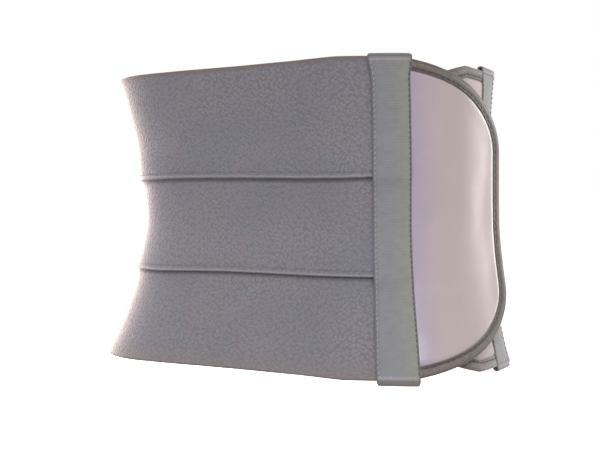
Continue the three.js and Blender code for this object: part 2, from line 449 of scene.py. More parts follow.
def linear(hex_colour: str) -> tuple[float, float, float, float]:
    """Turns an sRGB colour such as #7c7880 into the linear one that shaders take."""
    parts = [int(hex_colour[i : i + 2], 16) / 255 for i in (1, 3, 5)]
    curved = [p / 12.92 if p <= 0.04045 else ((p + 0.055) / 1.055) ** 2.4 for p in parts]
    return (*curved, 1.0)


class Op(Enum):
    """A kind of shader node: its type, its settings, the inputs it is given in order, and its output."""

    UV = ("UVMap", {"uv_map": UV_NAME}, (), 0)
    X = ("SeparateXYZ", {}, (0,), 0)
    Y = ("SeparateXYZ", {}, (0,), 1)
    RED = ("SeparateColor", {}, (0,), 0)
    GREEN = ("SeparateColor", {}, (0,), 1)
    ADD = ("Math", {"operation": "ADD"}, (0, 1), 0)
    LESS = ("Math", {"operation": "SUBTRACT"}, (0, 1), 0)
    TIMES = ("Math", {"operation": "MULTIPLY"}, (0, 1), 0)
    TIMES_PLUS = ("Math", {"operation": "MULTIPLY_ADD"}, (0, 1, 2), 0)
    SIZE = ("Math", {"operation": "ABSOLUTE"}, (0,), 0)
    SINE = ("Math", {"operation": "SINE"}, (0,), 0)
    BLEND = ("Mix", {"data_type": "FLOAT"}, (0, 2, 3), 0)
    MIX = ("Mix", {"data_type": "RGBA"}, (0, 6, 7), 2)
    STEP = ("MapRange", {"interpolation_type": "SMOOTHSTEP"}, (0, 1, 2), 0)
    TURN = ("Mapping", {"vector_type": "TEXTURE"}, (0, 2, 3), 0)
    NOISE = ("TexNoise", {}, (0, 2, 3), 0)
    CELLS = ("TexVoronoi", {"voronoi_dimensions": "2D"}, (0, 2, 8), 0)
    BUMP = ("Bump", {}, (3, 1), 0)
    SHADER = ("BsdfPrincipled", {}, (), 0)
    SURFACE = ("OutputMaterial", {}, (0,), None)


class Drawing:
    """A material's nodes, which draw over the place on the cut cloth, in metres."""

    def __init__(self, tree: NodeTree) -> None:
        """Starts with the place on the cut cloth: x and y, and both in one.

        Args:
            tree: The material's nodes, empty.
        """
        self.tree = tree
        self.cut = self.add(Op.UV)
        self.x = self.add(Op.X, self.cut)
        self.y = self.add(Op.Y, self.cut)

    def add(self, op: Op, *values: object, **named: object) -> NodeSocket | None:
        """Adds a node with its settings and links.

        Args:
            op: Kind of the node.
            *values: Values or sockets for the inputs that the kind takes in order.
            **named: Values or sockets for other inputs, by name, with _ for a space.

        Returns:
            The node's output.
        """
        kind, settings, order, out = op.value
        made = self.tree.nodes.new(f"ShaderNode{kind}")
        for name, setting in settings.items():
            setattr(made, name, setting)
        given = [*zip(order, values), *((name.replace("_", " "), value) for name, value in named.items())]
        for key, value in given:
            if isinstance(value, NodeSocket):
                self.tree.links.new(value, made.inputs[key])
            else:
                made.inputs[key].default_value = value
        return None if out is None else made.outputs[out]

    def clouds(self, size: float, detail: float, low: float, high: float) -> NodeSocket:
        """Returns soft patches, which start where the noise is low and are whole where it is high."""
        return self.add(Op.STEP, self.add(Op.NOISE, self.cut, 1 / size, detail), low, high)

    def waves(self, along: NodeSocket, pitch: float) -> NodeSocket:
        """Returns waves from 0 to 1, with a pitch in metres."""
        turns = self.add(Op.TIMES, along, 2 * math.pi / pitch)
        return self.add(Op.TIMES_PLUS, self.add(Op.SINE, turns), 0.5, 0.5)

    def wandering(self, place: NodeSocket, size: float, reach: float) -> NodeSocket:
        """Returns a place that wanders by a reach, in patches of a size."""
        return self.add(Op.TIMES_PLUS, self.add(Op.NOISE, self.cut, 1 / size, 1.0), reach, place)

    def tinted(self, colour: object, mask: NodeSocket, share: float, tone: str) -> NodeSocket:
        """Returns a colour with a share of a tone over it where the mask is."""
        return self.add(Op.MIX, self.add(Op.TIMES, mask, share), colour, linear(tone))


@dataclass(frozen=True)
class Finish:
    """A finish: its shader's own numbers, the depth of its relief, and a pattern of its own."""

    name: str = "finish"
    roughness: float = 0.85
    specular: float = 0.3
    sheen: float = 0.0
    sheen_roughness: float = 0.4
    sheen_tint: str = "#ffffff"
    relief: float = 0.0001

    def pattern(self, draw: Drawing) -> tuple[NodeSocket, NodeSocket]:
        """Draws the pattern.

        Args:
            draw: The material's nodes.

        Returns:
            The colour, and the relief's height from 0 to 1.
        """
        raise NotImplementedError

    def material(self) -> Material:
        """Makes the material."""
        made = bpy.data.materials.new(self.name)
        made.use_nodes = True
        made.node_tree.nodes.clear()
        draw = Drawing(made.node_tree)
        colour, height = self.pattern(draw)
        shader = draw.add(
            Op.SHADER,
            Base_Color=colour,
            Roughness=self.roughness,
            Specular_IOR_Level=self.specular,
            Sheen_Weight=self.sheen,
            Sheen_Roughness=self.sheen_roughness,
            Sheen_Tint=linear(self.sheen_tint),
            Normal=draw.add(Op.BUMP, height, self.relief),
        )
        draw.add(Op.SURFACE, shader)
        return made


@dataclass(frozen=True)
class ElasticCloth(Finish):
    """Elastic of nylon and rubber, woven in a broken twill.

    It is dull, with short slanted floats that lean both ways in patches, and the nylon's fuzz gives it
    a pale bloom at a glancing angle. Both rims end in a brown grey selvage.
    """

    name: str = "woven_elastic_cloth"
    specular: float = 0.25
    sheen: float = 0.8
    sheen_roughness: float = 0.3
    sheen_tint: str = "#f8ece8"
    relief: float = 0.00028
    yarn: str = "#56545a"
    pale: str = "#656368"
    gap: str = "#434247"
    mauve: str = "#5e525a"
    green: str = "#4d5658"
    selvage_top: str = "#524a47"
    selvage_bottom: str = "#5c544f"
    edge: str = "#453e3e"
    # Painted shadow below each hem
    hem_shadow: str = "#37353a"
    blue: str = "#4a4c57"
    # Floats of about 0.4 by 1 mm are drawn coarser, because the picture shows 0.7 mm per pixel
    float_size: tuple[float, ...] = (0.0032, 0.0016, 1.0)
    float_edge: tuple[float, ...] = (0.1, 0.68)
    lean: float = 50.0
    grain_size: float = 0.0009
    # Patches: their size, their detail, and the noise at which they start and are whole
    lean_patches: tuple[float, ...] = (0.01, 1.0, 0.46, 0.54)
    mauve_patches: tuple[float, ...] = (0.03, 2.0, 0.42, 0.66)
    blue_patches: tuple[float, ...] = (0.08, 1.0, 0.42, 0.62)
    # Shares of a tone that show: on single floats, and in the patches
    float_tint: float = 0.4
    mauve_share: float = 0.22
    blue_share: float = 0.3
    # Bands at each hem: how far up, half their height, share of the tone. The pale band on the rib is
    # painted highlight over cloth stretched paler there; the dark band below the hem is painted shadow
    rib_stretch_and_highlight_band: tuple[float, ...] = (0.0011, 0.0009, 0.75)
    hem_shadow_band: tuple[float, ...] = (-0.0013, 0.0018, 0.42)
    band_blur: float = 0.0005
    # Zones at the rims: how far in they start and are whole, share of the tone
    top_zone: tuple[float, ...] = (0.0046, 0.0012, 0.85)
    bottom_zone: tuple[float, ...] = (0.016, 0.004, 0.4)
    edge_zone: tuple[float, ...] = (0.0018, 0.0006, 0.8)
    rim: float = 0.1145
    hems: tuple[float, ...] = ()

    def floats(self, draw: Drawing, lean: float) -> NodeSocket:
        """Returns the distances of slanted cells, which draw floats that lean one way."""
        turned = draw.add(Op.TURN, draw.cut, (0.0, 0.0, math.radians(lean)), self.float_size)
        return draw.add(Op.CELLS, turned, 1.0, 0.75)

    def pattern(self, draw: Drawing) -> tuple[NodeSocket, NodeSocket]:
        """Draws the floats, faint blotches of dye, the paler hem ribs with painted highlight, painted
        shadow below each hem, and the selvages.

        Args:
            draw: The material's nodes.

        Returns:
            The colour, and the relief's height from 0 to 1.
        """
        rising = self.floats(draw, self.lean)
        falling = self.floats(draw, -self.lean)
        leans = draw.clouds(*self.lean_patches)
        chance = draw.add(Op.MIX, leans, *(cells.node.outputs["Color"] for cells in (rising, falling)))
        distance = draw.add(Op.BLEND, leans, rising, falling)
        strand = draw.add(Op.LESS, 1.0, draw.add(Op.STEP, distance, *self.float_edge))

        colour = draw.add(Op.MIX, strand, linear(self.gap), linear(self.pale))
        colour = draw.add(Op.MIX, 0.5, colour, linear(self.yarn))
        for part, tone in ((Op.RED, self.mauve), (Op.GREEN, self.green)):
            picked = draw.add(Op.STEP, draw.add(part, chance), 0.5, 1.0)
            colour = draw.tinted(colour, picked, self.float_tint, tone)
        colour = draw.tinted(colour, draw.clouds(*self.mauve_patches), self.mauve_share, self.mauve)
        colour = draw.tinted(colour, draw.clouds(*self.blue_patches), self.blue_share, self.blue)

        # At each hem: painted highlight on the rib, and painted shadow on the panel below it
        for hem in self.hems:
            for (up, half, share), tone in ((self.rib_stretch_and_highlight_band, self.pale), (self.hem_shadow_band, self.hem_shadow)):
                off = draw.add(Op.SIZE, draw.add(Op.LESS, draw.y, hem + up))
                band = draw.add(Op.STEP, off, half + self.band_blur, half - self.band_blur)
                colour = draw.tinted(colour, band, share, tone)
        down = draw.add(Op.TIMES, draw.y, -1.0)
        for place, (start, whole, share), tone in (
            (draw.y, self.top_zone, self.selvage_top),
            (down, self.bottom_zone, self.selvage_bottom),
            (down, self.edge_zone, self.edge),
        ):
            zone = draw.add(Op.STEP, place, self.rim - start, self.rim - whole)
            colour = draw.tinted(colour, zone, share, tone)
        floats = draw.add(Op.TIMES, strand, 0.75)
        grain = draw.add(Op.NOISE, draw.cut, 1 / self.grain_size, 1.0)
        return colour, draw.add(Op.TIMES_PLUS, grain, 0.25, floats)


@dataclass(frozen=True)
class SatinCloth(Finish):
    """Polyester satin laminated to thin foam.

    It is smooth, with a soft shine. A painted reflection turns it from a cool mauve next to the tape
    into a warm pinkish beige further out.
    """

    name: str = "laminated_satin_cloth"
    roughness: float = 0.3
    specular: float = 0.5
    sheen: float = 0.3
    sheen_roughness: float = 0.3
    sheen_tint: str = "#fbeef0"
    relief: float = 0.00005
    # Painted reflection: cool mauve near the tape, fading into the warm beige
    cool: str = "#736a78"
    warm: str = "#817675"
    pale: str = "#877c7e"
    painted_reflection_share: float = 1.0
    pale_share: float = 0.3
    # Wales of about 0.3 mm are drawn coarser, because they are too fine for the picture
    wale: float = 0.0009
    grain_size: float = 0.0013
    reflection_fade_start: float = 0.018
    reflection_fade_end: float = 0.044
    wander_size: float = 0.06
    wander: float = 0.014
    # Patches: their size, their detail, and the noise at which they start and are whole
    pale_patches: tuple[float, ...] = (0.02, 2.0, 0.45, 0.8)

    def pattern(self, draw: Drawing) -> tuple[NodeSocket, NodeSocket]:
        """Draws fine wales, faint clouds, and a painted reflection that changes with reach from the tape.

        Args:
            draw: The material's nodes.

        Returns:
            The colour, and the relief's height from 0 to 1.
        """
        reach = draw.wandering(draw.x, self.wander_size, self.wander)
        # Painted reflection: the mauve shows near the tape and fades out with the reach
        cool = draw.add(Op.LESS, 1.0, draw.add(Op.STEP, reach, self.reflection_fade_start, self.reflection_fade_end))
        colour = draw.tinted(linear(self.warm), cool, self.painted_reflection_share, self.cool)
        colour = draw.tinted(colour, draw.clouds(*self.pale_patches), self.pale_share, self.pale)
        wales = draw.add(Op.TIMES, draw.waves(draw.x, self.wale), 0.4)
        grain = draw.add(Op.NOISE, draw.cut, 1 / self.grain_size, 2.0)
        return colour, draw.add(Op.TIMES_PLUS, grain, 0.6, wales)


@dataclass(frozen=True)
class BindingCloth(Finish):
    """Polyester twill tape folded over a flap's edge and sewn through.

    Warm dark grey with fine slanted lines. Painted shade darkens it in the stitched channel near its
    inner edge, and again where it turns over the edge. Across it, the cut runs from the inner edge of the
    front.
    """

    name: str = "twill_binding_cloth"
    specular: float = 0.25
    sheen: float = 0.35
    relief: float = 0.00015
    yarn: str = "#5b5451"
    gap: str = "#49423f"
    # Painted shade in the stitched channel, and on the edge where the binding turns over
    channel: str = "#383332"
    channel_shade_share: float = 0.8
    turned: str = "#3c3432"
    turn_shade_share: float = 0.75
    # Twill lines of about 0.6 mm are drawn coarser, because they are too fine for the picture
    twill: float = 0.0013
    channel_shade_start: float = 0.0037
    channel_shade_whole: float = 0.0021
    turn_shade_start: float = 0.0054
    turn_shade_whole: float = 0.0072
    wander_size: float = 0.006
    wander: float = 0.0008
    # Patches: their size, their detail, and the noise at which they start and are whole
    worn_patches: tuple[float, ...] = (0.004, 2.0, 0.3, 0.7)

    def pattern(self, draw: Drawing) -> tuple[NodeSocket, NodeSocket]:
        """Draws the twill lines, and painted shade in the stitched channel and on the turned edge.

        Args:
            draw: The material's nodes.

        Returns:
            The colour, and the relief's height from 0 to 1.
        """
        lines = draw.waves(draw.add(Op.ADD, draw.x, draw.y), self.twill)
        worn = draw.add(Op.TIMES, draw.clouds(*self.worn_patches), 0.6)
        shown = draw.add(Op.TIMES_PLUS, lines, 0.4, worn)
        colour = draw.add(Op.MIX, shown, linear(self.gap), linear(self.yarn))
        across = draw.wandering(draw.y, self.wander_size, self.wander)
        # Painted shade in the stitched channel near the inner edge
        inner = draw.add(Op.STEP, across, self.channel_shade_start, self.channel_shade_whole)
        colour = draw.tinted(colour, inner, self.channel_shade_share, self.channel)
        # Painted shade where the binding turns over the edge
        outer = draw.add(Op.STEP, across, self.turn_shade_start, self.turn_shade_whole)
        return draw.tinted(colour, outer, self.turn_shade_share, self.turned), lines


@dataclass(frozen=True)
class WovenTape(Finish):
    """Woven polyester tape: a flat, tight weave in cool grey, with a faint green cast on one side.

    Its two woven edges are dark, drawn darker still to paint the shade beside the tape. Painted shade
    darkens the folds over the rims, and a painted highlight lies along the crease inside each fold.
    Along it, the cut is the height, and goes on round the folds.
    """

    name: str = "polyester_woven_tape"
    roughness: float = 0.75
    sheen: float = 0.3
    cool: str = "#5c5c60"
    green: str = "#62625b"
    # Shares of half the width at which the green cast starts and is whole
    green_span: tuple[float, ...] = (-0.3, 0.9)
    gap: str = "#525255"
    # Painted highlight along the crease inside each fold
    pale: str = "#707073"
    pale_share: float = 0.6
    # Painted shade on the folds over the rims
    fold: str = "#4b4745"
    fold_shade_share: float = 0.9
    # Dark woven edges, drawn darker still as painted shade beside the tape
    edge: str = "#434245"
    woven_edge_and_shade_share: float = 0.8
    # Ribs of about 0.5 mm are drawn coarser, because they are too fine for the picture
    rib: float = 0.0011
    half_width: float = 0.01225
    edge_width: float = 0.0011
    edge_blur: float = 0.0003
    # Distances in from the rim, and the half widths between which the crease's painted highlight fades
    crease: float = 0.0022
    crease_highlight_fade: tuple[float, ...] = (0.0004, 0.0013)
    fold_shade_start: float = 0.0009
    fold_shade_whole: float = -0.0001
    # Patches: their size, their detail, and the noise at which they start and are whole
    gap_patches: tuple[float, ...] = (0.005, 2.0, 0.35, 0.75)
    rim: float = 0.1145

    def pattern(self, draw: Drawing) -> tuple[NodeSocket, NodeSocket]:
        """Draws the ribs, soft blotches, the dark edges and folds with painted shade, and painted crease
        highlights.

        Args:
            draw: The material's nodes.

        Returns:
            The colour, and the relief's height from 0 to 1.
        """
        ribs = draw.waves(draw.y, self.rib)
        start, whole = (share * self.half_width for share in self.green_span)
        tone = draw.add(Op.STEP, draw.x, start, whole)
        colour = draw.add(Op.MIX, tone, linear(self.cool), linear(self.green))
        cloud = draw.clouds(*self.gap_patches)
        shown = draw.add(Op.TIMES_PLUS, cloud, 0.35, draw.add(Op.TIMES, ribs, 0.2))
        colour = draw.add(Op.MIX, shown, colour, linear(self.gap))
        out = draw.add(Op.SIZE, draw.y)
        off = draw.add(Op.SIZE, draw.add(Op.LESS, out, self.rim - self.crease))
        # Painted highlight along the crease
        crease = draw.add(Op.LESS, 1.0, draw.add(Op.STEP, off, *self.crease_highlight_fade))
        colour = draw.tinted(colour, crease, self.pale_share, self.pale)
        # Painted shade on the folds over the rims
        over = draw.add(Op.STEP, out, self.rim - self.fold_shade_start, self.rim - self.fold_shade_whole)
        colour = draw.tinted(colour, over, self.fold_shade_share, self.fold)
        # Dark woven edges, darkened further as painted shade beside the tape
        start = self.half_width - self.edge_width
        side = draw.add(Op.SIZE, draw.x)
        woven = draw.add(Op.STEP, side, start - self.edge_blur, start + self.edge_blur)
        return draw.tinted(colour, woven, self.woven_edge_and_shade_share, self.edge), ribs


@dataclass(frozen=True)
class Thread(Finish):
    """Spun polyester sewing thread: two plies twisted together, with a slight shine."""

    name: str = "spun_thread"
    roughness: float = 0.6
    specular: float = 0.35
    relief: float = 0.00015
    colour: str = "#737378"
    shade: float = 0.7
    ply: float = 0.0007

    def pattern(self, draw: Drawing) -> tuple[NodeSocket, NodeSocket]:
        """Draws the twist of the plies.

        Args:
            draw: The material's nodes.

        Returns:
            The colour, and the relief's height from 0 to 1.
        """
        plies = draw.waves(draw.add(Op.ADD, draw.x, draw.y), self.ply)
        lit = linear(self.colour)
        shaded = (*(self.shade * part for part in lit[:3]), 1.0)
        return draw.add(Op.MIX, plies, shaded, lit), plies


@dataclass(frozen=True)
class HookNylon(Finish):
    """Extruded nylon hook tape: smooth, slightly glossy plastic of a warm grey."""

    name: str = "nylon_hook_tape"
    roughness: float = 0.4
    specular: float = 0.5
    relief: float = 0.00005
    colour: str = "#6d676b"
    shade: str = "#585256"
    flow_size: float = 0.003

    def pattern(self, draw: Drawing) -> tuple[NodeSocket, NodeSocket]:
        """Draws faint flow marks.

        Args:
            draw: The material's nodes.

        Returns:
            The colour, and the relief's height from 0 to 1.
        """
        flow = draw.add(Op.NOISE, draw.cut, 1 / self.flow_size, 2.0)
        return draw.add(Op.MIX, flow, linear(self.shade), linear(self.colour)), flow


# Sewing


@dataclass(frozen=True)
class Seam:
    """A row of stitches along a line in the flat state. The slant is how far each leans to the side."""

    points: Sequence[Vector]
    pitch: float = 0.0036
    length: float = 0.0026
    thickness: float = 0.00062
    slant: float = 0.0

    def sewn(self, wrap: Callable[[Vector], Vector]) -> BMesh:
        """Sews the row.

        Args:
            wrap: Takes a point of the flat state to its place on the hollow.

        Returns:
            The stitches as one mesh, in place.
        """
        lengths = walked(self.points)
        count = max(1, int(lengths[-1] / self.pitch))
        mesh = bmesh.new()
        lying = Matrix.Rotation(math.pi / 2, 4, "Y")
        bmesh.ops.create_uvsphere(mesh, u_segments=6, v_segments=6, radius=1.0, matrix=lying)
        for number, verts in repeated(mesh, count).items():
            low, part = found(lengths, (number + 0.5) * lengths[-1] / count)
            start = self.points[low].lerp(self.points[low + 1], part)
            along = (self.points[low + 1] - self.points[low]).normalized()
            side = Vector((-along.y, along.x, 0.0)).normalized()
            along = (along + side * self.slant).normalized()
            side = Vector((-along.y, along.x, 0.0)).normalized()
            for vert in verts:
                x, y, z = vert.co
                flat = along * (x * self.length / 2) + side * (y * self.thickness / 2)
                vert.co = start + flat + Vector((0.0, 0.0, z * self.thickness / 2))
        wrapped(mesh, wrap)
        return mesh


def joined(parts: Sequence[BMesh]) -> BMesh:
    """Puts several meshes into one, and frees them.

    Args:
        parts: The meshes.

    Returns:
        The mesh that holds them all.
    """
    whole = bmesh.new()
    for part in parts:
        data = as_data("part", part)
        whole.from_mesh(data)
        bpy.data.meshes.remove(data)
    return whole


# Elastic panels


@dataclass(frozen=True)
class ElasticPanel:
    """One lapped panel of elastic. Its hem lies over the panel below and ends in a raised rib."""

    torso: Torso
    layers: Layers
    place: str
    lower: float
    upper: float
    # Millimetres by which the lower and upper edges wander up, at even steps back from the front tape
    lower_sway: tuple[float, ...]
    upper_sway: tuple[float, ...]
    has_hem: bool = False
    is_tucked: bool = False
    sway_share: float = 0.5
    low_whole: float = 0.006
    high_start: float = 0.04
    sway_fade: float = 0.035
    cut_length: float = 0.56
    lap_height: float = 0.008
    lap_ease: float = 0.03
    rib_rise: float = 0.0007
    rib_height: float = 0.0024
    stitch_up: float = 0.0042
    stitch_depth: float = 0.0003
    stitch_out: float = 0.0001
    channel_width: float = 0.0018
    fine_hem: float = 0.0065
    fine_rim: float = 0.002
    fine_step: float = 0.0005
    plain_step: float = 0.0026
    column_step: float = 0.003
    edge_radius: float = 0.0004
    climb_length: float = 0.045
    climb_end: float = -0.0306
    ripple: float = 0.0005
    ripple_width: float = 0.045
    ripple_stretch: float = 1.6
    # Distances from the ends, the hem and the upper edge over which the ripples fade
    calm_end: float = 0.03
    calm_hem: float = 0.012
    calm_upper: float = 0.004
    calm_fade: float = 0.02

    def hem_rise(self, up: float) -> float:
        """Returns how far the hem stands out at a height above the panel's lower edge."""
        ease = (self.lap_height + self.layers.clearance + self.lap_ease - up) / self.lap_ease
        return self.layers.lap_rise * smooth(ease) if self.has_hem else 0.0

    def rib(self, up: float) -> float:
        """Returns the relief of the front near the hem: a round rib, and the stitched channel above it."""
        if not self.has_hem:
            return 0.0
        across = (up / self.rib_height - 0.5) * 2
        bead = self.rib_rise * math.sqrt(max(0.0, 1 - across * across)) if abs(across) < 1 else 0.0
        return bead - self.stitch_depth * dip(up - self.stitch_up, self.channel_width)

    def climb(self, station: float) -> float:
        """Returns how far the panel has climbed over the under flap's end at a station."""
        share = smooth((station - self.climb_end + self.climb_length) / self.climb_length)
        return self.layers.over_base * share

    def sway(self, x: float, y: float) -> float:
        """Returns how far the panel's edges, and what is near them, wander up at a point of the flat."""
        back = -x / self.cut_length / self.sway_share
        low_share = 1 - smooth((y - self.lower - self.low_whole) / self.sway_fade)
        high_share = smooth((y - self.upper + self.high_start) / self.sway_fade)
        low = graded(self.lower_sway, back) * low_share
        high = graded(self.upper_sway, back) * high_share
        return (low + high) / 1000

    def heights(self) -> list[float]:
        """Returns the heights of the rows, close together at the hem and at the rims."""
        rows = [self.lower]
        top = self.upper + (self.lap_height if self.is_tucked else 0.0)
        hem_top = self.lower + (self.fine_hem if self.has_hem else self.fine_rim)
        while rows[-1] < hem_top:
            rows.append(rows[-1] + self.fine_step)
        count = round((top - self.fine_rim - rows[-1]) / self.plain_step)
        first = rows[-1]
        rows.extend(lerp(first, top - self.fine_rim, i / count) for i in range(1, count + 1))
        fine = round(self.fine_rim / self.fine_step)
        rows.extend(top - self.fine_rim + self.fine_step * i for i in range(1, fine + 1))
        return rows

    def wrap(self, point: Vector) -> Vector:
        """Takes a point of the flat panel to its place on the hollow.

        Args:
            point: The point.

        Returns:
            Its place.
        """
        length = self.torso.round_at(point.y) - self.layers.wrap_overlap - self.layers.clearance
        station = point.x / self.cut_length * length - self.layers.clearance / 2
        up = point.y - self.lower
        calm = smooth(-point.x / self.calm_end) * smooth((self.cut_length + point.x) / self.calm_end)
        above = smooth((up - self.calm_hem) / self.calm_fade)
        below = smooth((self.upper - point.y - self.calm_upper) / self.calm_fade)
        place = Vector((station, point.y * self.ripple_stretch, self.lower))
        sag = self.ripple * noise.noise(place / self.ripple_width) * calm * (above * below)
        rise = self.climb(station) + self.hem_rise(up) + sag
        return self.torso.place(station, point.y + self.sway(point.x, point.y), rise + point.z)

    def build(self, cloth: Material) -> None:
        """Builds the panel.

        Args:
            cloth: The elastic's finish.
        """
        rows = self.heights()
        columns = round(self.cut_length / self.column_step)
        half_wall = self.layers.elastic / 2

        def flat(u: float, v: float) -> Vector:
            """Returns the place in the flat state for shares along x and y."""
            return Vector((-self.cut_length * (1 - u), graded(rows, v), half_wall))

        mesh = flat_grid(columns, len(rows) - 1, flat)
        thicken(mesh, self.layers.elastic)
        for vert in mesh.verts:
            if vert.co.z > half_wall:
                vert.co.z += self.rib(vert.co.y - self.lower)
        soften_edges(mesh, self.edge_radius)
        wrapped(mesh, self.wrap)
        node = f"elastic_panel_{self.place}"
        piece = finished_piece(f"elastic_{self.place}", mesh, cloth, [node])

    def sew(self, thread: Material) -> None:
        """Sews the row of stitches that holds the hem.

        Args:
            thread: The thread's finish.
        """
        y = self.lower + self.stitch_up
        z = self.layers.elastic - self.stitch_depth + self.stitch_out
        steps = 200
        line = [Vector((-self.cut_length * (1 - i / steps), y, z)) for i in range(steps + 1)]
        stitches = Seam(line, pitch=0.0028, length=0.0021, thickness=0.0004).sewn(self.wrap)
        finished_piece(f"elastic_{self.place}_hem_stitches", stitches, thread, [])


@dataclass(frozen=True)
class ElasticBody:
    """The three lapped panels and the stitches of their two seams."""

    torso: Torso
    layers: Layers
    rim_sway: tuple[float, ...] = (0.2, 1.0, 0.1, -0.5, -0.6, -0.4, 0.2, 0.3, 0.0, 0.0, 0.0)
    upper_hem_sway: tuple[float, ...] = (0.0, -1.2, -0.8, 0.0, 0.6, 1.1, 1.3, 0.8, 0.3, 0.0, 0.0)
    lower_hem_sway: tuple[float, ...] = (-0.4, -0.4, -0.2, 0.4, 0.9, 0.4, -0.5, -0.4, 0.0, 0.0, 0.0)
    foot_sway: tuple[float, ...] = (-0.2, -1.0, 0.0, 0.5, 0.6, 0.2, -0.6, -0.4, 0.0, 0.0, 0.0)

    def panels(self) -> list[ElasticPanel]:
        """Returns the panels, from the top one down, with their edges where the frame has them."""
        top, middle = (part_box(node)[0].z for node in ("elastic_panel_top", "elastic_panel_middle"))
        rim = self.torso.rim
        upper_hem = self.upper_hem_sway
        lower_hem = self.lower_hem_sway
        on = (self.torso, self.layers)
        return [
            ElasticPanel(*on, "top", top, rim, upper_hem, self.rim_sway, has_hem=True),
            ElasticPanel(*on, "middle", middle, top, lower_hem, upper_hem, has_hem=True, is_tucked=True),
            ElasticPanel(*on, "bottom", -rim, middle, self.foot_sway, lower_hem, is_tucked=True),
        ]

    def build(self) -> None:
        """Builds the panels and sews their seams."""
        panels = self.panels()
        hems = tuple(panel.lower for panel in panels if panel.has_hem)
        cloth = ElasticCloth(rim=self.torso.rim, hems=hems).material()
        thread = Thread(name="spun_hem_thread", colour="#565359").material()
        for panel in panels:
            panel.build(cloth)
        for panel in panels:
            if panel.has_hem:
                panel.sew(thread)


# Tapes


@dataclass(frozen=True)
class TapeBend:
    """A row of the tape: its height, its way to the inner layer, and its place along the cut."""

    height: float
    inward: float
    cut: float
    is_face: bool
    turn: float = 0.0


